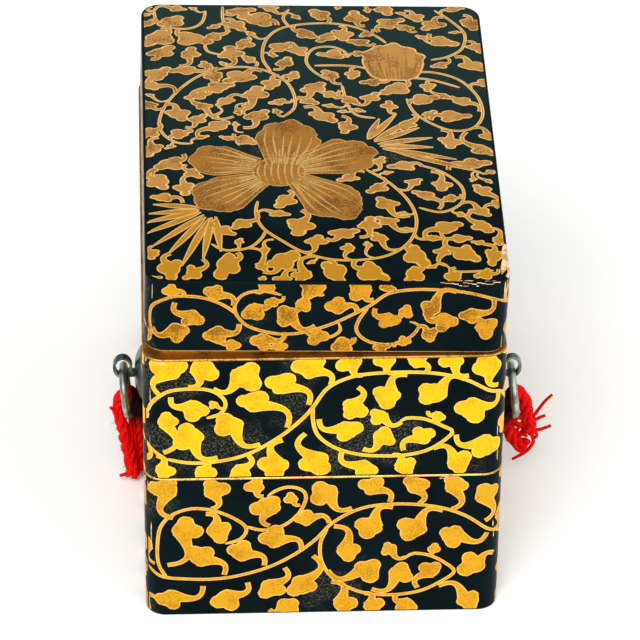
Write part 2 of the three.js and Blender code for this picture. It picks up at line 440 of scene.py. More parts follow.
def addCord(side):
    line = [Vector(p) for p in smooth(cord[side], cord["step"])]
    colour = "silk" + side.title()
    piece = strands(f"silk_cord_{side}_plies", twisted(line), cord["ply"], colour)
    loose = [smooth(stations, cord["step"]) for stations in cord["frays"][side]]
    frays = strands("frays", loose, cord["fray"], colour, 0.75)
    hairs = strands("fuzz", loosened(line, len(side)), cord["hair"], colour, 0.6)
    threads = joined([frays, hairs], f"silk_threads_{side}")
    settle(piece, [f"silk_cord_{side}"])
    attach(threads, "root")


addCord("left")
addCord("right")


# fittings of worn silvered copper: domed rosette, strip eyelet and cast ring on each side

fitting = {"height": 30.4, "side": 40, "wall": 4, "soft": 0.12,
           "rosette": 6.4, "dome": 1.8, "domeSteps": 6, "domeStep": 0.75, "rim": 0.3,
           "loopRise": 1.9, "loopWide": 2.25, "loopTall": 3, "band": 0.6, "bandWidth": 1.7,
           "shank": 1.4, "leg": 5,
           "ring": 5.9, "wire": 1.8, "play": 0.3, "lumps": 2.2, "lump": 0.14,
           "left": {"along": -3.5, "reach": 4.6, "lean": -6},
           "right": {"along": -5.5, "reach": 5.7, "lean": 6}}


def softened(piece, angle):  # edges sharper than the angle are rounded
    applied(piece, "BEVEL", width=fitting["soft"] * mm, segments=3, limit_method="ANGLE",
            angle_limit=radians(angle))
    pick(piece)
    bpy.ops.object.shade_smooth_by_angle(angle=radians(40))
    # rosettes and eyelets take the darker copy: painted shade
    dress(piece, ["metalInPaintedShade"])


def rosettePiece():  # disc drawn up ring by ring to a dome, facing +X
    deselectAll()
    bpy.ops.mesh.primitive_circle_add(vertices=56, radius=fitting["rosette"] * mm, fill_type="NGON")
    piece = bpy.context.object
    editing(piece, "FACE")
    bpy.ops.mesh.select_all(action="SELECT")
    bpy.ops.mesh.extrude_region_move(TRANSFORM_OT_translate={"value": (0, 0, fitting["rim"] * mm)})
    steps, fall = fitting["domeSteps"], fitting["dome"] - fitting["rim"]
    for i in range(steps):
        lift = fall * ((1 - i / steps) ** 2 - (1 - (i + 1) / steps) ** 2)
        bpy.ops.mesh.inset(thickness=fitting["domeStep"] * mm, depth=lift * mm)
    finishEdit(piece)
    piece.rotation_euler = (0, pi / 2, 0)
    freeze()
    softened(piece, 50)
    return piece


def bar(x0, x1, depth, height):
    return cuboid(((x0 + x1) / 2, 0, 0), (x1 - x0, depth, height))


def eyeletPiece(reach):  # strip bent to an oval loop, shank through the wall, legs spread inside
    deselectAll()
    bpy.ops.mesh.primitive_cylinder_add(vertices=56, radius=1, depth=fitting["bandWidth"] * mm,
                                        end_fill_type="NOTHING", rotation=(pi / 2, 0, 0))
    piece = bpy.context.object
    freeze()
    piece.scale = (fitting["loopWide"] * mm, 1, fitting["loopTall"] * mm)
    piece.location = (reach * mm, 0, fitting["loopRise"] * mm)
    freeze()
    applied(piece, "SOLIDIFY", thickness=fitting["band"] * mm, offset=-1)
    inside = fitting["wall"] + fitting["band"]
    combine(piece, bar(-inside, reach - 1.3, fitting["bandWidth"] - 0.02, fitting["shank"]), "UNION")
    combine(piece, bar(-inside, fitting["band"] - inside, fitting["bandWidth"], 2 * fitting["leg"]), "UNION")
    softened(piece, 35)
    return piece


def ringPiece(lean):  # wire ring, slightly uneven from casting
    deselectAll()
    bpy.ops.mesh.primitive_torus_add(major_radius=fitting["ring"] * mm, minor_radius=fitting["wire"] / 2 * mm,
                                     major_segments=96, minor_segments=20, rotation=(0, pi / 2, 0))
    piece = bpy.context.object
    freeze()
    lumps = bpy.data.textures.new("casting", "CLOUDS")
    lumps.noise_scale = fitting["lumps"] * mm
    applied(piece, "DISPLACE", texture=lumps, strength=fitting["lump"] * mm, mid_level=0.55)
    hang = Matrix.Translation((0, 0, -fitting["ring"] * mm))
    piece.data.transform(Matrix.Rotation(-radians(lean), 4, "Y") @ hang)
    pick(piece)
    bpy.ops.object.shade_smooth()
    dress(piece, ["metal"])
    return piece


def addFitting(side, rosetteModel):
    place = fitting[side]
    drop = fitting["loopRise"] - fitting["loopTall"] + fitting["band"] + fitting["play"] + fitting["wire"] / 2
    rosette = placed("rosette", rosetteModel.data.copy())
    eyelet, ring = eyeletPiece(place["reach"]), ringPiece(place["lean"])
    ring.data.transform(Matrix.Translation((place["reach"] * mm, 0, drop * mm)))
    sign = 1 if side == "right" else -1
    move = Matrix.Translation((sign * fitting["side"] * mm, place["along"] * mm, fitting["height"] * mm))
    if side == "left":
        move = move @ Matrix.Rotation(pi, 4, "Z")
    for piece, kind in ((rosette, "rosette"), (eyelet, "eyelet"), (ring, "ring")):
        piece.data.transform(move)
        piece.name = f"metal_{kind}_{side}"
        settle(piece, [f"{kind}_{side}"])


model = rosettePiece()
addFitting("left", model)
addFitting("right", model)
bpy.data.objects.remove(model)
print("fittings made")


# painted vine work, drawn flat in mm; its sheets are meshed by code, since operators can't cut such outlines

paint = {"wallLobes": ((2.6, 0.6, 0.58), (-1.75, 0.58, 0.58), (0.9, 0.46, 0.48)),  # turn, offset, radius
         "topLobes": ((2.9, 0.95, 0.52), (-1.6, 0.5, 0.6), (0.4, 0.75, 0.48)), "core": 0.8, "edgePoints": 30,
         "topLeaf": 0.93, "backLeaf": 1.1, "topStretch": (1.32, 0.95), "frontStretch": (1.12, 1.3),
         "frontRow": -40, "backRow": 18, "line": 0.26, "root": 0.3, "tail": 1.2, "step": 0.9, "topStem": 0.76,
         "drawnHalf": 41, "scatter": (160, 6.6, 2.4)}  # between the drawn fronts: tries, spacing, size


def ribbon(line, widths, chunk=5):  # closed strips of a few steps each along a line
    sides = []
    for i, (x, y) in enumerate(line):
        x0, y0 = line[max(i - 1, 0)]
        x1, y1 = line[min(i + 1, len(line) - 1)]
        length = hypot(x1 - x0, y1 - y0) or 1
        ox, oy = -(y1 - y0) / length * widths[i] / 2, (x1 - x0) / length * widths[i] / 2
        sides.append(((x + ox, y + oy), (x - ox, y - oy)))
    strips = []
    for start in range(0, len(sides) - 1, chunk):
        part = sides[start:start + chunk + 1]
        strips.append([b for a, b in part] + [a for a, b in reversed(part)])
    return strips


class Painting:  # gold areas of one surface: fill, lighter outline as a painted edge highlight, petals and their veins
    def __init__(self, low, high, lobes, stretch, stem):
        self.low, self.high, self.lobes, self.stretch, self.stem = low, high, lobes, stretch, stem
        self.areas, self.stems, self.heads = [], [], []

    def add(self, tag, outline):
        (x0, y0), (x1, y1) = self.low, self.high
        inside = [(min(max(x, x0), x1), min(max(y, y0), y1)) for x, y in outline]
        area = sum(a[0] * b[1] - b[0] * a[1] for a, b in zip(inside, inside[1:] + inside[:1])) / 2
        if abs(area) > 0.01:
            self.areas.append((tag, inside if area > 0 else inside[::-1]))

    def stroke(self, line, widths, tag="line", fill="fill"):
        for strip in ribbon(line, widths):
            self.add(tag, strip)
        inner = [w - 2 * paint["line"] for w in widths]
        if fill and max(inner) > 0.15:
            for strip in ribbon(line, [max(w, 0.05) for w in inner]):
                self.add(fill, strip)

    def vine(self, stations):
        line = smooth(stations, paint["step"])
        last = len(line) - 1
        self.stroke(line, [self.stem * min(1, 0.5 + 0.25 * min(i, last - i)) for i in range(last + 1)])
        self.stems += line

    def leaf(self, x, y, tipX, tipY, size):  # head of a few lobes with a hooked tail
        draw = random.Random(round(x * 91 + y * 17))
        bow = draw.choice((-1, 1))
        aim = atan2(tipY - y, tipX - x)
        lobes = [(0, 0, paint["core"] * size)]
        for turn, out, r in self.lobes:
            a = aim + turn * bow + draw.uniform(-0.35, 0.35)
            out *= size * draw.uniform(0.85, 1.15)
            lobes.append((*polar(0, 0, out, a), r * size * draw.uniform(0.85, 1.1)))
        uneven = [draw.uniform(0.975, 1.025) for _ in range(paint["edgePoints"])]  # brushed edge
        # the lighter outline round the fill is a painted edge highlight
        for tag, inset in (("line", 0), ("fill", paint["line"])):
            outline = []
            for i, rough in enumerate(uneven):
                dx, dy = polar(0, 0, 1, tau * i / len(uneven))
                r = 0
                for cx, cy, radius in lobes:
                    along = dx * cx + dy * cy
                    rest = (radius - inset) ** 2 - cx * cx - cy * cy + along * along
                    r = max(r, along + sqrt(rest)) if rest > 0 else r
                outline.append((x + r * rough * dx * self.stretch[0], y + r * rough * dy * self.stretch[1]))
            self.add(tag, outline)
        self.heads.append((x, y, size))
        start, tip = polar(x, y, paint["root"] * size, aim + 0.7 * bow), (tipX, tipY)
        pull = 0.6 * dist(tip, start)
        pulls = polar(*start, pull, aim - 0.75 * bow), polar(*tip, -pull, aim + 1.1 * bow)
        line, widths = [], []
        for i in range(11):
            t = i / 10
            k = ((1 - t) ** 3, 3 * t * (1 - t) ** 2, 3 * t * t * (1 - t), t ** 3)
            line.append(tuple(k[0] * a + k[1] * b + k[2] * c + k[3] * d
                              for a, b, c, d in zip(start, *pulls, tip)))
            widths.append(min(paint["tail"], 0.2 + 0.42 * size) + 0.85 * size * (1 - t) ** 3)
        self.stroke(line, widths)

    def wear(self, x, y, halfWidth, halfHeight, count, seed):  # rubbed spots scattered over a patch
        draw = random.Random(seed + round(x))
        for _ in range(count):
            cx, cy = x + draw.uniform(-1, 1) * halfWidth, y + draw.uniform(-1, 1) * halfHeight
            rx, ry = draw.uniform(0.07, 0.2), draw.uniform(0.07, 0.2)
            if halfHeight > 3 * halfWidth:
                ry *= draw.uniform(8, 24)
            elif halfWidth > 3 * halfHeight:
                rx *= draw.uniform(2, 6)
            self.add("worn", [(cx + rx * cos(tau * i / 9) * draw.uniform(0.6, 1.2),
                               cy + ry * sin(tau * i / 9) * draw.uniform(0.6, 1.2)) for i in range(9)])

    def fill(self, area, count, spacing, size, seed):  # leaves in the empty places, tails to the nearest stem
        draw = random.Random(seed)
        for _ in range(count):
            x, y = draw.uniform(area[0], area[2]), draw.uniform(area[1], area[3])
            r = size * draw.uniform(0.8, 1.2)
            near = min(self.stems, key=lambda p: dist(p, (x, y)))
            gap = dist(near, (x, y))
            if gap < r + 1.1:
                continue
            if any(dist(h[:2], (x, y)) < max(spacing, r + h[2] + 1) for h in self.heads):
                continue
            if gap > r + 6:
                near = polar(x, y, r + 3, draw.uniform(0, tau))
            self.leaf(x, y, *near, r)


def within(point, outline):
    x, y = point
    inside = False
    for (x0, y0), (x1, y1) in zip(outline, outline[1:] + outline[:1]):
        if (y0 > y) != (y1 > y) and x < (x1 - x0) * (y - y0) / (y1 - y0) + x0:
            inside = not inside
    return inside


def slotOf(tags):  # 0 lacquer, 1 gold fill, 2 lighter line (painted edge highlight), 3 worn ground, 4 petal, 5 vein
    for slot, tag in ((3, "worn"), (5, "vein"), (4, "petal"), (1, "fill"), (2, "line")):
        if tag in tags:
            return slot
    return 0


def triangulated(outline, cuts, areas, loose):  # a sheet's points, triangles, and the slot of each triangle
    points, edges, cells = [], [], {}
    for shape in [outline] + cuts + [shape for tag, shape in areas]:
        first, count = len(points), len(shape)
        points += [Vector(p) for p in shape]
        edges += [(first + i, first + (i + 1) % count) for i in range(count if count > 2 else 1)]
    points += [Vector(p) for p in loose]
    cell = 4  # areas are looked up by squares of this size
    for tag, shape in areas:
        xs, ys = [p[0] for p in shape], [p[1] for p in shape]
        for i in range(int(min(xs) // cell), int(max(xs) // cell) + 1):
            for j in range(int(min(ys) // cell), int(max(ys) // cell) + 1):
                cells.setdefault((i, j), []).append((tag, shape))
    made = delaunay_2d_cdt(points, edges, [], 0, 0.003, False)
    faces, slots = [tuple(f) for f in made[2]], []
    for f in faces:
        x, y = (sum(made[0][v][k] for v in f) / 3 for k in (0, 1))
        near = cells.get((int(x // cell), int(y // cell)), ())
        slots.append(slotOf({tag for tag, shape in near if within((x, y), shape)}))
    return made[0], faces, slots


def sheet(name, spots, faces, finishes, slots):  # spots in mm
    mesh = bpy.data.meshes.new(name)
    mesh.from_pydata([tuple(c * mm for c in p) for p in spots], [], faces)
    piece = placed(name, mesh)
    dress(piece, finishes)
    for polygon, index in zip(mesh.polygons, slots):
        polygon.material_index = index
    return piece


# boxes

box = {"width": 80, "depth": 109, "corner": 4.5, "innerCorner": 1, "arc": 12, "edge": 0.4,
       "wall": 4, "floor": 3, "shoulder": 2.6, "lip": 3.2, "play": 0.3, "smoothAngle": 28}


def halves(inset):
    return box["width"] / 2 - inset, box["depth"] / 2 - inset


def middle(face):
    return face.calc_center_median() / mm


def bevelled(piece, width, segments, chosen):  # rounds the chosen edges
    editing(piece, "EDGE", chosen)
    bpy.ops.mesh.bevel(offset=width * mm, segments=segments, profile=0.5, affect="EDGES")
    finishEdit(piece)


def block(name, inset, radius, low, high, segments):  # box with rounded upright edges
    hx, hy = halves(inset)
    piece = cuboid((0, 0, (low + high) / 2), (2 * hx, 2 * hy, high - low))
    piece.name = name
    bevelled(piece, radius, segments, lambda edge: abs(edge.verts[0].co.z - edge.verts[1].co.z) > 0.5 * mm)
    return piece


def softenLoop(piece, level, width, segments):  # rounds the edges at one height
    def atLevel(edge):
        return all(abs(v.co.z - level * mm) < 0.01 * mm for v in edge.verts)

    bevelled(piece, width, segments, atLevel)


def giveSlots(piece, slotAt):  # each face's finish by the place of its middle
    mesh = editing(piece, "FACE")
    for face in mesh.faces:
        face.material_index = slotAt(middle(face))
    finishEdit(piece)


def fromOutline(x, y, inset):  # distance outwards from the rounded plan outline, in mm
    hx, hy = halves(inset)
    qx, qy = abs(x) - hx + box["corner"], abs(y) - hy + box["corner"]
    return hypot(max(qx, 0), max(qy, 0)) + min(max(qx, qy), 0) - box["corner"]


def onWall(face, inset, low, high):  # a plain face of the outer wall
    c = middle(face)
    return abs(face.normal.z) < 0.05 and abs(fromOutline(c.x, c.y, inset)) < 0.05 and low < c.z < high


def wrapping(inset):  # place on the wall for a distance along it, counted from the middle of the front
    hx, hy = halves(inset)
    r = box["corner"]
    fx, fy = hx - r, hy - r
    arc = r * pi / 2
    runs, s = [], -fx
    corners = [(fx, -fy, -90), (fx, fy, 0), (-fx, fy, 90), (-fx, -fy, 180)]
    for (cx, cy, start), flat in zip(corners, (2 * fx, 2 * fy, 2 * fx, 2 * fy)):
        runs.append((s, flat, cx, cy, start))
        s += flat + arc
    length = s + fx

    def place(u):
        u = (u + fx) % length - fx
        for s0, flat, cx, cy, start in runs:
            if u <= s0 + flat + arc + 1e-6:
                break
        a = radians(start)
        back = s0 + flat - u  # how far before the corner's start
        if back >= 0:
            return (cx + r * cos(a) + back * sin(a), cy + r * sin(a) - back * cos(a))
        return polar(cx, cy, r, a - back / r)

    breaks = []
    for s0, flat, cx, cy, start in runs:
        breaks += [s0 + flat + arc * i / box["arc"] for i in range(box["arc"] + 1)]
    return place, length, breaks


def wallPainting(style, inset, low, high, length, seam):  # the front's drawing goes round all four sides
    base, seed = style["base"], style["seed"]
    painting = Painting((seam - length + 0.3, low + 0.05), (seam - 0.3, high - 0.05), paint["wallLobes"],
                        (1, 1), style["stem"])
    vines = [[(x, y + base) for x, y in stations] for stations in style["vines"]]
    for turn in range(-1, 4):
        shift = turn * length / 4
        for stations in vines:
            painting.vine([(x + shift, y) for x, y in stations])
        for x, y, tipX, tipY, size in style["leaves"]:
            painting.leaf(x + shift, y + base, tipX + shift, tipY + base, size * style["leafScale"])
        (x0, y0), (x1, y1) = max(v[-1] for v in vines), vines[0][0]  # stem across the corner to the next side
        painting.vine([(x0 + shift, y0), (shift + length / 8, (y0 + y1) / 2), (x1 + shift + length / 4, y1)])
        bare = (shift + paint["drawnHalf"], low, shift + length / 4 - paint["drawnHalf"], high)
        painting.fill(bare, *paint["scatter"], seed + turn)
    hx = halves(inset)[0] - box["corner"] / 4
    for corner in (hx, -hx, length / 2 + hx, length / 2 - hx):  # rubbed upright corners
        painting.wear(corner, (low + high) / 2, 0.5, (high - low) / 2, 2, seed)
    for x, y, halfWidth, halfHeight, count in style["chips"]:
        painting.wear(x, y + base, halfWidth, halfHeight, count, seed)
    return painting


def paintedWall(style, inset, low, high):  # the outer wall as one sheet with its gold areas
    place, length, breaks = wrapping(inset)
    seam = max(b for b in breaks if b < length - halves(inset)[0])
    painting = wallPainting(style, inset, low, high, length, seam)
    marks = sorted({round(b, 6) for b in breaks} | {round(b - length, 6) for b in breaks})
    marks = [m for m in marks if seam - length - 1e-4 < m < seam + 1e-4]
    outline = [(m, low) for m in marks] + [(m, high) for m in reversed(marks)]
    cuts = [((m, low), (m, high)) for m in marks[1:-1]]
    points, faces, slots = triangulated(outline, cuts, painting.areas, [])
    return sheet("wall", [(*place(p[0]), p[1]) for p in points], faces, style["finishes"], slots)


def skinned(piece, skins, dropped):  # the block's plain faces give way to painted sheets
    editing(piece, "FACE", dropped)
    bpy.ops.mesh.delete(type="FACE")
    finishEdit(piece)
    joined([piece] + skins, piece.name)
    mergeAll(piece, 0.002)
    finishEdit(piece)


def tray(name, style):
    base, top, edge = style["base"], style["base"] + style["height"], box["edge"]
    piece = block(name, 0, box["corner"], base, top, box["arc"])
    dress(piece, style["finishes"])
    softenLoop(piece, base, edge, 3)
    softenLoop(piece, top, edge, 3)
    combine(piece, block("lip", box["shoulder"], box["corner"] - 1.5, top - 1, top + box["lip"], 6), "UNION")
    socket = box["lip"] + box["play"] if style["socket"] else 0  # recess over the lip of the tray below
    hollow = block("hollow", box["wall"], box["innerCorner"], base + box["floor"] + socket, top + 9, 4)
    combine(piece, hollow, "DIFFERENCE")
    if socket:
        inset = box["shoulder"] - box["play"]
        combine(piece, block("under", inset, box["corner"] - 1.2, base - 1, base + socket, 6), "DIFFERENCE")
    giveSlots(piece, lambda c: 4 if c.z > top - edge + 0.01 else 0)  # shoulder, lip and upper edge are gilded
    wall = paintedWall(style, 0, base + edge, top - edge)
    skinned(piece, [wall], lambda face: onWall(face, 0, base + edge, top - edge))
    return piece


# the trays: stems through a few stations, leaves as head, tail tip and head size, on the front

bottomTier = {
    "base": 0, "height": 40, "socket": False, "leafScale": 1.12, "stem": 0.85, "seed": 5,
    "chips": [(27.4, 39.2, 1.6, 0.35, 9)],
    "finishes": ["lacquer", "bottomGold", "bottomLine", "worn", "bottomEdge"],
    "vines": [
        [(-40, 13.5), (-36, 11.5), (-31, 10.8), (-25, 10.6), (-19, 11.5), (-12, 14), (-6, 17.8), (-1.5, 22),
         (2, 26.5), (7, 30), (12, 31.5), (19, 31.7), (26, 30.6), (32, 28), (37, 24), (39.5, 22.5)],
        [(1, 25), (-0.5, 21), (-0.4, 16), (1.5, 11.5), (5, 8), (10, 5.6), (16, 5), (22, 6), (26.5, 8.5),
         (29.8, 11.6), (27.5, 14.4), (24, 16.6), (20.5, 17.2), (18.5, 15.8)],
        [(-35, 11), (-37, 15), (-37.3, 20), (-36.5, 26), (-34, 29.5), (-30, 31.3), (-25.5, 31), (-21, 29),
         (-17.6, 26.2), (-17.4, 24), (-19, 22), (-22, 21)],
        [(-17.4, 26), (-13.5, 24.8), (-9, 26), (-5.5, 29.5), (-3.9, 34), (-5, 36.4), (-8, 37.2), (-11, 36),
         (-12.5, 34.5)],
    ],
    "leaves": [
        (-35.3, 37, -33.6, 28.8, 3), (-24.3, 36.6, -25, 31.2, 2.7), (-15.3, 37.6, -13.4, 34.6, 2),
        (-12.6, 31.6, -12, 26, 2.9), (-7.2, 33.8, -5.2, 32, 1.5), (0.3, 35.2, 6.4, 30.8, 3),
        (10.8, 37, 14.8, 32.4, 2.4), (20.5, 37.2, 21.4, 31.8, 2.4), (29.4, 37, 28.8, 30, 2.6),
        (36.5, 34, 36.4, 26.4, 2.8), (-31, 25.3, -35, 15, 3.1), (-23.5, 24.7, -26.3, 29.8, 2.7),
        (-27.4, 17.4, -22.3, 11.8, 3), (-18.3, 18.6, -13.2, 14.4, 2.8), (-11, 22.4, -4.8, 19, 2.8),
        (-4.2, 28, 1.4, 26.6, 2), (10.5, 25.3, 15.6, 30.8, 3), (20.3, 24.6, 26.8, 29.6, 3),
        (29.2, 22.2, 37, 22.8, 2.8), (5.6, 18.2, 2.4, 25.6, 2.6), (10.2, 12.6, 1.2, 12.6, 2.9),
        (17.6, 11.6, 11.2, 6.8, 2.6), (24.6, 12.2, 21.6, 7, 2.2), (14.9, 18.6, 18.8, 16.2, 1.7),
        (25, 18.4, 24, 16.8, 1.4), (34, 13.6, 39, 16, 2.9), (-34.4, 5, -27, 8.6, 2.7),
        (-21.6, 4.6, -17, 9.4, 2.9), (-11.6, 7.6, -8.6, 13.6, 2.7), (-4.6, 8.2, -2.2, 17, 2.9),
        (-8, 2.2, -12, 1.2, 2.4), (4.8, 2.6, 2, 9.2, 2.5), (11.6, 1.8, 9.6, 5.6, 2.2),
        (19.2, 1.8, 16.8, 5, 2.2), (33.4, 3, 26.4, 7.4, 2.6), (-40, 20, -38, 15, 1.6),
    ],
}
middleTier = {
    "base": 40, "height": 33.5, "socket": True, "leafScale": 1.2, "stem": 0.9, "seed": 9,
    "chips": [(-36, 32.6, 2, 0.3, 5)],
    # the rim's darker gold is painted shade under the lid
    "finishes": ["wornLacquer", "middleGold", "middleLine", "worn", "ledge"],
    "vines": [
        [(-35, 5.8), (-30, 4.6), (-24, 4.8), (-17, 6.8), (-10, 11.5), (-5, 16.5), (-2.5, 20), (0.5, 25),
         (5, 27.8), (10, 28.9), (18, 29.2), (25, 28.6), (31, 26.8), (36, 23.8), (39, 22.8)],
        [(-2.5, 20), (-2.6, 16.5), (-1.5, 12), (2, 8.5), (7, 6.4), (13, 5.7), (19, 6), (24, 7.8),
         (28.3, 12), (26, 14), (22, 16), (18, 16.3), (16.5, 15)],
        [(-39.5, 18), (-38, 21.5), (-35, 24.5), (-31, 25.4), (-26, 25.2), (-23, 23.5), (-21.8, 21),
         (-23, 18.4), (-26, 17.2)],
    ],
    "leaves": [
        (-34.5, 31, -36.5, 24, 3), (-26.8, 31, -30, 26, 2.8), (-17.6, 28.6, -24.5, 25.4, 3.2),
        (-9.5, 26.5, -3.6, 20.5, 2.7), (-3.2, 31, 1.2, 26, 2.9), (5.3, 32, 8.2, 28.6, 2.3),
        (13, 32.5, 15.2, 29, 2), (20, 32.5, 22.2, 29.2, 2), (27.7, 32.5, 31.5, 28, 2.2),
        (35.7, 30.3, 38.3, 24.8, 3), (-15.6, 21.6, -8.3, 14.2, 2.7), (-28.8, 19.8, -33.8, 23.2, 2.5),
        (-24.5, 21, -21.8, 20.5, 0.9), (-34.7, 16.5, -35.6, 7.6, 2.1), (-20.8, 15, -14.2, 9.6, 2.7),
        (-30, 12, -23.6, 6, 3), (6.4, 19.4, 7.2, 25.2, 2.5), (13.6, 22.6, 18, 28.4, 2.7),
        (24, 23.2, 30.6, 27, 2.8), (32.6, 18.6, 38.4, 22.6, 3), (5.2, 13.2, -1.2, 16.4, 2.5),
        (13.2, 11, 8.6, 7.8, 2.2), (21.6, 11.3, 17.6, 7.2, 2.1), (12, 17, 17, 15.2, 1.8),
        (25, 16.6, 22.8, 18.2, 1.4), (35.6, 8, 29.2, 11.4, 2.9), (-35.5, 2.4, -37.2, 6.6, 1.9),
        (-26.6, 1.6, -26.4, 5, 2.2), (-18.6, 1.6, -16.8, 6.4, 2.2), (-11, 3.2, -9.2, 10.6, 2.8),
        (-2, 4.2, -4.2, 12.4, 3), (9, 2.2, 4, 7.2, 2.2), (18, 2.6, 15.2, 5.8, 2.2),
        (30, 3.6, 24.2, 7.6, 2.4),
    ],
}
boxes = []
for word, style in (("bottom", bottomTier), ("middle", middleTier)):
    piece = tray(f"lacquer_{word}_tier", style)
    settle(piece, [f"{word}_tier"])
    boxes.append(piece)
    print(word, "tier", len(piece.data.polygons), "faces")


# lid: shell, painted wall and painted top with a flower

lidSize = {
    "seat": 73.8, "height": 19.7, "inset": 0.45, "wall": 1.8, "top": 2.4, "crown": 0.7,
    "edge": 0.6, "foot": 0.3, "tilt": 1.4, "base": 0, "leafScale": 1.18, "stem": 0.8, "seed": 14,
    "chips": [(39.4, 15.5, 0.6, 2.6, 4), (31, 18.2, 5, 0.15, 4)],
    "finishes": ["lacquer", "lidGold", "lidLine", "worn", "petalGold", "topGold", "topLine", "petalLine",
                 "topLacquer"],
    "edgeCuts": 70, "rubbedSide": (-51.6, -39.4), "rubbedFront": 24,
    "topSlots": (8, 5, 6, 3, 4, 7),  # the top's own finish for each painted area
    "vines": [
        [(-38, 4), (-38.8, 8), (-38, 12), (-34, 14.8), (-29, 15), (-25, 14), (-21.5, 12), (-19.5, 10)],
        [(-10, 15.5), (-14, 16.6), (-18, 15.8), (-20, 13), (-19.6, 10), (-17, 7), (-12, 5.2), (-7, 5),
         (-2, 6.4), (2, 8.2), (6, 10.6), (9.5, 13), (13, 16), (18, 17.1), (24, 17.1), (30, 16.4), (35, 15),
         (37.5, 14)],
        [(9, 12.5), (7, 9), (6.5, 6), (8.5, 3.4), (12, 2.2), (16, 2.6), (19, 5), (20, 7.5), (18, 8.4)],
        [(2.5, 8), (3, 6), (1, 4.2), (-2, 4)],
    ],
    "leaves": [
        (-29.2, 9.2, -33, 13.4, 2), (-32.4, 5.4, -38, 6.2, 2.3), (-24.5, 16, -20.4, 12.6, 1.9),
        (-16, 11, -12.6, 14.6, 2.2), (-8.8, 10, -2.5, 7.2, 2.2), (-5.2, 13, -8, 11.4, 1.7),
        (-3.3, 17.4, -1, 16, 2.5), (2, 12.6, 6.5, 11, 2), (7, 17, 10, 14.4, 2.4),
        (13.5, 8.8, 10.4, 12, 1.9), (17, 11.2, 14, 9.6, 1.4), (22.4, 12.2, 27.8, 16.6, 2),
        (25.6, 8.6, 21.6, 10.4, 2.2), (31, 10.2, 36, 14.4, 1.8), (34.6, 7, 32, 9, 2.3),
        (22.5, 5, 19.8, 7, 1.6), (-24, 4.6, -19, 7.6, 2.2), (-20.4, 1.8, -23, 3.6, 1.5),
        (-14, 3, -9, 5.4, 1.9), (-10, 1.4, -13, 2.4, 1.4), (-2, 4.4, -4, 6, 1.9), (3.6, 2, 6, 4, 2),
        (12, 1.2, 14, 2.6, 1.3), (17, 3, 15, 1.4, 1.2), (-34, 16.6, -31, 15, 1.5),
        (-12, 13.6, -9.6, 15.2, 1.2), (-13.4, 18, -15.6, 16.4, 1.6), (12.6, 17.8, 14.4, 16.6, 1.3),
    ],
}
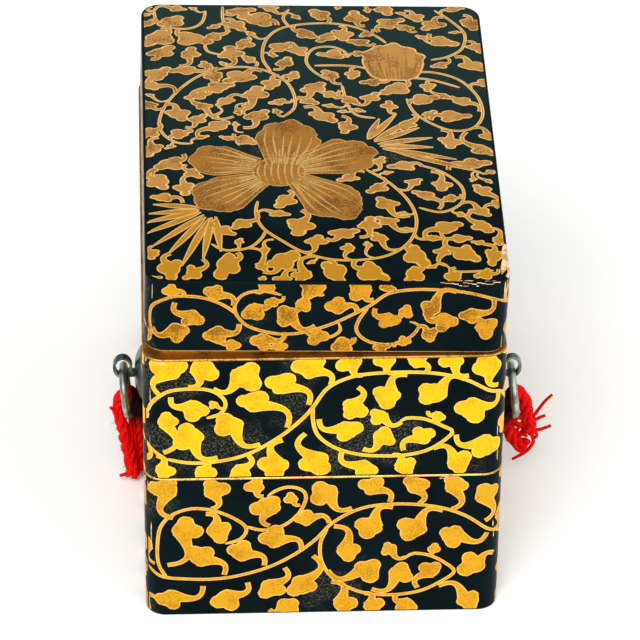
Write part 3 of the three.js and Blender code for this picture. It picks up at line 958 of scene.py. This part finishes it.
topWork = {
    "disc": (-9.4, -14, 5.8, 5.4),  # centre and half sizes of the flower's middle
    "rib": 4.6, "ribGap": 1.5,
    "scatter": [(1800, 4.8, 1.6, 32), (700, 3.4, 0.85, 33)],  # small leaves: tries, spacing, size, seed
    "worn": [(37.6, -51), (40, -49), (40, -39.6), (38.5, -41), (38.1, -43), (38.2, -45.4), (37.6, -48)],
    "petals": [  # base, direction in degrees, length, width, half foot as a share of it, flare, scallops
        (-8.2, -12, 84, 17.8, 14.4, 0.26, 1, 4), (-13.8, -11.6, 168, 15.8, 11.8, 0.22, 1.2, 3),
        (-13, -16.4, 213, 18, 13.6, 0.2, 1.2, 3), (-6.2, -16, -47, 19.5, 13.6, 0.18, 1.1, 2),
        (-5.5, -12, 20, 19, 13.2, 0.22, 1, 4), (18.2, 22.2, 90, 15.4, 15, 0.2, 0.36, 5),
    ],
    "blades": [  # origin, direction, length
        (-26, -27.5, 172, 13), (-26, -28, 186, 14), (-26, -28, 199, 16), (-25.5, -28, 212, 18),
        (-25, -28.5, 225, 20), (-25, -29, 238, 20), (-24.5, -29, 250, 23), (-24.5, -29, 262, 19),
        (-24, -29, 274, 16), (10.5, -2.5, 70, 11), (10.5, -2.5, 57, 15), (11, -3, 43, 18), (11, -3, 29, 15),
        (11.5, -3.5, 13, 16), (12, -4, 0, 15), (12, -4.5, -12, 21), (15, -5.5, -20, 24),
    ],
    "vines": [
        [(-28.5, -3), (-32, -2.5), (-35, 1), (-35.8, 6), (-34, 13), (-30, 20), (-25, 25), (-19, 27.3),
         (-14, 27), (-10, 25), (-6.5, 21), (-5, 15.5), (-5.3, 10.5), (-8, 7)],
        [(-10, 25.5), (-11.8, 31), (-11, 38), (-8, 43), (-3, 45.3), (4, 46), (10, 44.5), (14.5, 41),
         (17, 37.8)],
        [(3, 22), (-0.5, 26), (-1.8, 30.5), (0, 35), (4, 36), (7, 34.2), (8, 31.5)],
        [(29, 52), (33, 47), (35.5, 42), (34.5, 36), (31, 32.5), (27, 31)],
        [(20.5, 15), (22, 9.5), (26, 5), (30.5, 2.7), (35, 4), (37.5, 9), (37, 16), (34, 22), (30, 25),
         (25, 26), (19, 24)],
        [(10, -13), (15, -18), (19, -25), (20.2, -32), (18.5, -39), (14, -44), (8, -46), (1, -46),
         (-5, -43.5), (-9.5, -39.5), (-13.5, -35), (-15, -30), (-14.5, -25)],
        [(-25, -40.5), (-22, -42.8), (-17, -42), (-14, -38.5), (-13, -35.5)],
        [(22, -11), (27, -13.5), (31, -19), (30.5, -25), (26, -28.5), (21, -27)],
        [(-36.5, 51), (-36, 47), (-33, 44), (-28.5, 43.5), (-25.5, 46), (-24.5, 51)],
        [(-20.5, 53), (-20.5, 47), (-19, 42)],
        [(-25, 38), (-24.4, 34), (-21, 32.4)],
        [(-5, 52), (-6.5, 48), (-5, 44)],
        [(0, 28), (6, 28.2), (11, 27.4), (16, 24.8)],
        [(20, 23.4), (26, 23), (33, 20)],
        [(6, 20), (7, 12), (9, 8), (13, 7)],
        [(26, -48), (28, -50), (36, -49.5)],
    ],
    "leaves": [
        (-32.5, 46.5, -35, 44, 2.4), (-35.5, 39.5, -33.5, 43.5, 3), (-28, 39.3, -31, 43, 2.8),
        (-35, 33.6, -37.5, 31, 2.3), (-28.5, 33, -31, 28, 1.9), (-36, 25, -37, 19.5, 2.3),
        (-30, 26.4, -24, 28.4, 1.9), (-23, 23.6, -22, 27, 1.8), (-17, 23.2, -12, 25.6, 2.5),
        (-19, 33, -20, 28, 2.2), (-16, 37, -15, 40, 1.8), (-15, 30.6, -13.5, 27.6, 1.3),
        (-23, 40, -20, 44, 1.7), (-17.6, 45, -20, 47.5, 2), (-12.4, 47.4, -8, 45, 2.8),
        (-16.5, 51, -20, 50, 2), (-7.3, 36, -9, 31.5, 1.9), (-3.6, 34.4, -6, 37, 1.9),
        (-6.6, 29.4, -9.5, 26.5, 1.7), (-10, 20.6, -8.2, 23.8, 1.9), (-1.5, 41.4, -4, 45, 1.9),
        (3.2, 39.9, 5, 43, 1.7), (7, 41, 6.4, 45, 2), (4.6, 32.6, 7.4, 31.4, 1.9),
        (10.6, 33.2, 8.2, 32, 1.3), (10.8, 38, 14.4, 37.6, 1.7), (12.4, 41.4, 14, 43.6, 1.1),
        (10.4, 48.6, 12.5, 45, 2.1), (2, 49.6, 4, 46.4, 2), (18, 46.4, 15.6, 42.4, 2.2),
        (24.4, 49, 22, 51.5, 1.7), (21.6, 44.6, 24.4, 43, 1.4), (28.2, 45.6, 31, 49, 2),
        (30, 38.6, 27.4, 42, 2.2), (37.2, 46.4, 35.6, 50, 2.1), (38, 36.6, 36, 39, 1.7),
        (36.4, 29, 32.6, 32.4, 2.2), (28.8, 28.8, 31, 32, 1.3), (3.6, 24.4, 6, 20.6, 1.7),
        (8.8, 24.4, 9.4, 27.4, 1.5), (13.2, 21.6, 17, 23.4, 1.6), (18.4, 18.8, 21, 22.4, 2.5),
        (24.2, 14.6, 21, 13, 2.4), (29.4, 16.2, 26.6, 20.6, 1.2), (32.8, 14.6, 36.8, 10.6, 1.9),
        (30.8, 8.4, 25.6, 6.6, 2.4), (20, 4.6, 21.6, 9, 1.9), (7.6, 14, 5.6, 18, 1.8),
        (12.4, 15.2, 9, 12.4, 1.8), (9.6, 10, 7.4, 12, 0.9), (-0.4, 19, -4.4, 15, 2.2),
        (3.4, 16.2, 1, 19, 1.6), (-22, 19.4, -28, 13, 2.1), (-27, 16, -24, 18, 1.9),
        (-14, 16.4, -18.8, 10.4, 2.5), (-8.6, 13.2, -5.4, 14.4, 1.5), (-26, 11.8, -19, 7.4, 1.6),
        (-31.4, 8.6, -34.4, 12.6, 2.4), (-27.2, 6.6, -30, 3.4, 1.8), (-22.6, 3.6, -27, -1, 2.2),
        (-13.6, 7.8, -17, 3, 2.3), (-38, 1.4, -36, 5.4, 1.9), (-37.6, -5, -36, -0.4, 2.2),
        (-33.6, -10.6, -30.6, -7, 2.6), (-16.6, -2, -19, 0.6, 2.1), (1.2, 7.4, -3, 11, 2.4),
        (6.4, 3.2, 5.4, 7.6, 2), (29.6, -1.8, 27.6, 2.8, 2.2), (36.6, -4.6, 33.4, 2.4, 2.2),
        (34, -10, 28.4, -12.6, 2.5), (18.4, -11.4, 22.6, -11.4, 2.1), (26.6, -18.4, 24.4, -13.4, 1.9),
        (22.6, -22.2, 25.4, -27.4, 1.9), (28, -23.4, 30.6, -21.6, 1.5), (35.4, -20, 38, -26.6, 1.9),
        (12.2, -20, 13.4, -16, 1.8), (13, -9.6, 11.4, -13.4, 1.4), (6, -16.4, 9.6, -14, 1.6),
        (-8.4, -25, -7.6, -21, 2.2), (13.8, -25.6, 18.8, -30, 2.2), (13.8, -32, 19.6, -35, 1.8),
        (-5.4, -34, -5, -28.4, 2.8), (-18.4, -33.4, -15, -29, 1.9), (-22.2, -36, -24, -32, 1.9),
        (-19, -39.6, -20.6, -42.6, 1), (4, -36.6, 0, -38.6, 2.3), (9.8, -33.4, 7.4, -38, 2.2),
        (26.8, -34, 22, -38.4, 2.5), (30.4, -43.6, 26.6, -38, 2.5), (34.6, -33.4, 32.6, -28, 2.1),
        (38, -38.6, 36.4, -34, 1.6), (-9.6, -46.6, -14, -50.4, 2.9), (-21.6, -48, -19.4, -43.6, 3),
        (-34, -49.4, -34, -44, 2.6), (1.4, -50.4, 0, -46.4, 2.9), (9.4, -50.4, 6, -46.4, 2.9),
        (19.4, -44.6, 18.6, -40, 2.7), (18.6, -51, 20, -47, 2.2), (27.2, -52, 27.8, -48.6, 1.9),
        (36.4, -44.4, 35, -40, 2), (-13.4, -43, -11.4, -39, 1.1), (-30.6, -20, -28.6, -15, 2),
        (-36.2, -17.4, -38, -13.4, 2.4), (-35.4, -23.4, -31, -25.4, 1.9), (-28.6, -14.4, -30, -11, 1.7),
        (-29, -51, -27, -46, 2), (34, -51, 37, -49, 1.7),
    ],
}


def petalOutline(baseX, baseY, aim, length, width, foot, flare, scallops):
    draw = random.Random(round(aim))
    a = radians(aim)
    side = [(s * length, width * (foot + (0.5 - foot) * (s / 0.56) ** flare))
            for s in (0, 0.1, 0.22, 0.34, 0.46)]
    flat = [(x, -y) for x, y in side]
    for i in range(33):
        t = -pi / 2 + pi * i / 32
        swell = 0.9 + 0.12 * abs(cos(scallops * t + 0.4 * sin(aim))) + 0.03 * sin(5 * t + aim)
        swell *= draw.uniform(0.97, 1.03)
        flat.append((length * (0.56 + 0.44 * cos(t) * swell), 0.5 * width * sin(t) * swell))
    flat += reversed(side)
    return [(baseX + x * cos(a) - y * sin(a), baseY + x * sin(a) + y * cos(a)) for x, y in flat]


def addPetal(painting, draw, baseX, baseY, aim, length, width, foot, flare, scallops):
    outline = petalOutline(baseX, baseY, aim, length, width, foot, flare, scallops)
    a = radians(aim)
    bud = flare < 1  # the small bloom seen from the side has the leaves' gold
    if bud:
        centre = (baseX, baseY + length / 2)
        painting.add("line", outline)
        painting.add("fill", [tuple(c + 0.94 * (v - c) for v, c in zip(p, centre)) for p in outline])
    else:
        painting.add("petal", outline)
    for k in range(-5, 6):  # veins follow the petal's spread, every other one short
        far = draw.uniform(0.6, 0.86) if k % 2 else draw.uniform(0.28, 0.4)
        share = (k + draw.uniform(-0.25, 0.25)) / 6.6
        line = []
        for i in range(9):
            t = 0.05 + i / 8 * (far - 0.05)
            half = width * (foot + (0.5 - foot) * min(t / 0.56, 1) ** flare)
            across = share * half + 0.14 * sin(7 * t + k)
            line.append((baseX + length * t * cos(a) - across * sin(a),
                         baseY + length * t * sin(a) + across * cos(a)))
        widths = [0.12 + draw.uniform(0.26, 0.42) * sin(pi * (0.15 + 0.85 * i / 8)) for i in range(9)]
        painting.stroke(line, widths, "petal" if bud else "vein", None)
    if not bud:  # thin light edge
        painting.stroke(outline, [0.24] * len(outline), "vein", None)
    painting.heads += [(*p, 1.2) for p in outline[::2]]  # keeps leaves off the petal
    painting.heads.append((*polar(baseX, baseY, length * 0.5, a), width * 0.5))


def topPainting(hx, hy):
    painting = Painting((-hx, -hy), (hx, hy), paint["topLobes"], paint["topStretch"], paint["topStem"])
    draw = random.Random(8)
    for petal in topWork["petals"]:
        addPetal(painting, draw, *petal)
    x, y, rx, ry = topWork["disc"]
    disc = [(x + rx * cos(tau * i / 24), y + ry * sin(tau * i / 24)) for i in range(25)]
    painting.add("petal", disc[:24])
    painting.stroke(disc, [0.3] * 25, "vein", None)
    for k in range(-3, 4):  # ribs of the flower's middle
        tall = topWork["rib"] * sqrt(1 - (k / 3.7) ** 2)
        line = [(x + topWork["ribGap"] * k + 0.7 * t * t - 0.3, y + tall * t)
                for t in (-1, -0.6, -0.2, 0.2, 0.6, 1)]
        painting.stroke(line, [0.2, 0.36, 0.42, 0.42, 0.36, 0.2], "vein", None)
    for x, y, aim, length in topWork["blades"]:
        line = [polar(x, y, length * i / 10, radians(aim)) for i in range(1, 10)]
        painting.stroke(line, [0.4 + 1.4 * sin(pi * (i / 8) ** 0.8) for i in range(9)])
        painting.stems += line
    for stations in topWork["vines"]:
        painting.vine(stations)
    for x, y, tipX, tipY, size in topWork["leaves"]:  # taller in the front row, larger at the back
        painting.stretch = paint["frontStretch"] if y < paint["frontRow"] else paint["topStretch"]
        larger = paint["backLeaf"] if y > paint["backRow"] else 1
        painting.leaf(x, y, tipX, tipY, size * paint["topLeaf"] * larger)
    painting.stretch = paint["topStretch"]
    painting.add("worn", topWork["worn"])
    painting.wear(30, -hy + 0.15, 6, 0.15, 6, 4)  # chips along the front edge
    for scatter in topWork["scatter"]:
        painting.fill((-hx, -hy, hx, hy), *scatter)
    return painting


def rounded(p, hx, hy, radius):  # keeps a point inside the rounded corners
    cx = copysign(hx - radius, p[0])
    cy = copysign(hy - radius, p[1])
    dx, dy = p[0] - cx, p[1] - cy
    if dx * cx <= 0 or dy * cy <= 0:
        return p
    reach = hypot(dx, dy)
    return p if reach < radius else (cx + dx / reach * (radius - 0.05), cy + dy / reach * (radius - 0.05))


def paintedTop(rim, inset, level):  # the crowned top as one sheet inside the rim
    hx, hy = halves(inset)
    radius = box["corner"] - lidSize["edge"]
    areas = topPainting(hx - 0.04, hy - 0.04).areas
    inner = [(tag, [rounded(p, hx - 0.03, hy - 0.03, radius) for p in shape]) for tag, shape in areas]
    grid = [(i * 5 + 0.3, j * 5 + 0.2) for i in range(-7, 8) for j in range(-10, 11)]
    points, faces, slots = triangulated(rim, [], inner, grid)
    spots = []
    for x, y in points:
        dome = lidSize["crown"] * max(0, 1 - (x / hx) ** 2) * max(0, 1 - (y / hy) ** 2)
        spots.append((x, y, level + dome))
    return sheet("top", spots, faces, lidSize["finishes"], [lidSize["topSlots"][slot] for slot in slots])


def rubbedEdge(x, y, z):  # the lid's upper edge is rubbed bare at its right front corner
    hx, hy = halves(lidSize["inset"] + lidSize["edge"])
    if x > hx - 0.5:
        start, end = lidSize["rubbedSide"]
        return z > -0.5 and start < y < end
    frontEdge = y < -hy and x > lidSize["rubbedFront"] and -0.4 < z < -0.12
    return frontEdge and random.Random(int(x * 0.9) + round(z * 9)).random() < 0.5


def lidPiece():
    inset, edge, foot = lidSize["inset"], lidSize["edge"], lidSize["foot"]
    eave = lidSize["height"] - lidSize["crown"]
    piece = block("lacquer_lid", inset, box["corner"], 0, eave, box["arc"])
    dress(piece, lidSize["finishes"])
    softenLoop(piece, 0, foot, 2)
    softenLoop(piece, eave, edge, 6)

    def longRun(run):  # cut into short faces along the rounded edge, so that its wear can stop and start
        return run.calc_length() > 20 * mm and all(v.co.z > (eave - edge + 0.05) * mm for v in run.verts)

    editing(piece, "EDGE", longRun)
    bpy.ops.mesh.subdivide(number_cuts=lidSize["edgeCuts"])
    finishEdit(piece)
    flat = max(piece.data.polygons, key=lambda f: f.center.z)
    rim = [tuple(piece.data.vertices[v].co[k] / mm for k in (0, 1)) for v in flat.vertices]
    ceiling = lidSize["height"] - lidSize["top"]
    combine(piece, block("hollow", inset + lidSize["wall"], box["innerCorner"], -5, ceiling, 4), "DIFFERENCE")
    giveSlots(piece, lambda c: 2 if c.z < foot + 0.02 else 3 if rubbedEdge(c.x, c.y, c.z - eave) else 0)
    wall = paintedWall(lidSize, inset, foot, eave - edge)
    top = paintedTop(rim, inset + edge, eave)
    skinned(piece, [wall, top], lambda face: onWall(face, inset, foot, eave - edge)
            or (face.normal.z > 0.99 and middle(face).z > eave - 0.01))
    half = halves(inset)[0] * mm
    turn = Matrix.Rotation(radians(lidSize["tilt"]), 4, "Y")
    seat = Matrix.Translation((half, 0, lidSize["seat"] * mm))
    piece.data.transform(seat @ turn @ Matrix.Translation((-half, 0, 0)))
    return piece


lid = lidPiece()
settle(lid, ["lid"])
print("lid", len(lid.data.polygons), "faces")

for piece in boxes + [lid]:
    pick(piece)
    bpy.ops.object.shade_smooth_by_angle(angle=radians(box["smoothAngle"]))
    applied(piece, "WEIGHTED_NORMAL", mode="FACE_AREA", weight=60, keep_sharp=True)


# floor and light, in metres

stage = {"size": 6, "floor": "#fafaf8", "roughness": 0.8, "world": "#d6d8da", "worldStrength": 0.8,
         "aim": (0, 0, 0.05), "lampSize": 1.4,
         "lamps": [("key", (-0.5, -1.1, 1.3), 31), ("fill", (1.1, -0.7, 0.9), 14)]}


def addStage():
    deselectAll()
    bpy.ops.mesh.primitive_plane_add(size=stage["size"], location=(0, 0, 0))
    floor = bpy.context.object
    floor.name = "floor"
    floor.data.materials.append(newMaterial("matt_white_paper", Base_Color=linear(stage["floor"]),
                                            Roughness=stage["roughness"])[0])
    world = bpy.data.worlds.new("studio")
    world.use_nodes = True
    back = world.node_tree.nodes["Background"]
    back.inputs["Color"].default_value = linear(stage["world"])
    back.inputs["Strength"].default_value = stage["worldStrength"]
    bpy.context.scene.world = world
    for name, place, power in stage["lamps"]:
        data = bpy.data.lights.new(name, "AREA")
        data.size, data.energy = stage["lampSize"], power
        lamp = placed(name, data)
        lamp.location = place
        lamp.rotation_euler = (Vector(stage["aim"]) - Vector(place)).to_track_quat("-Z", "Y").to_euler()
    bpy.context.scene.view_settings.view_transform = "Standard"


addStage()
print("stage set")
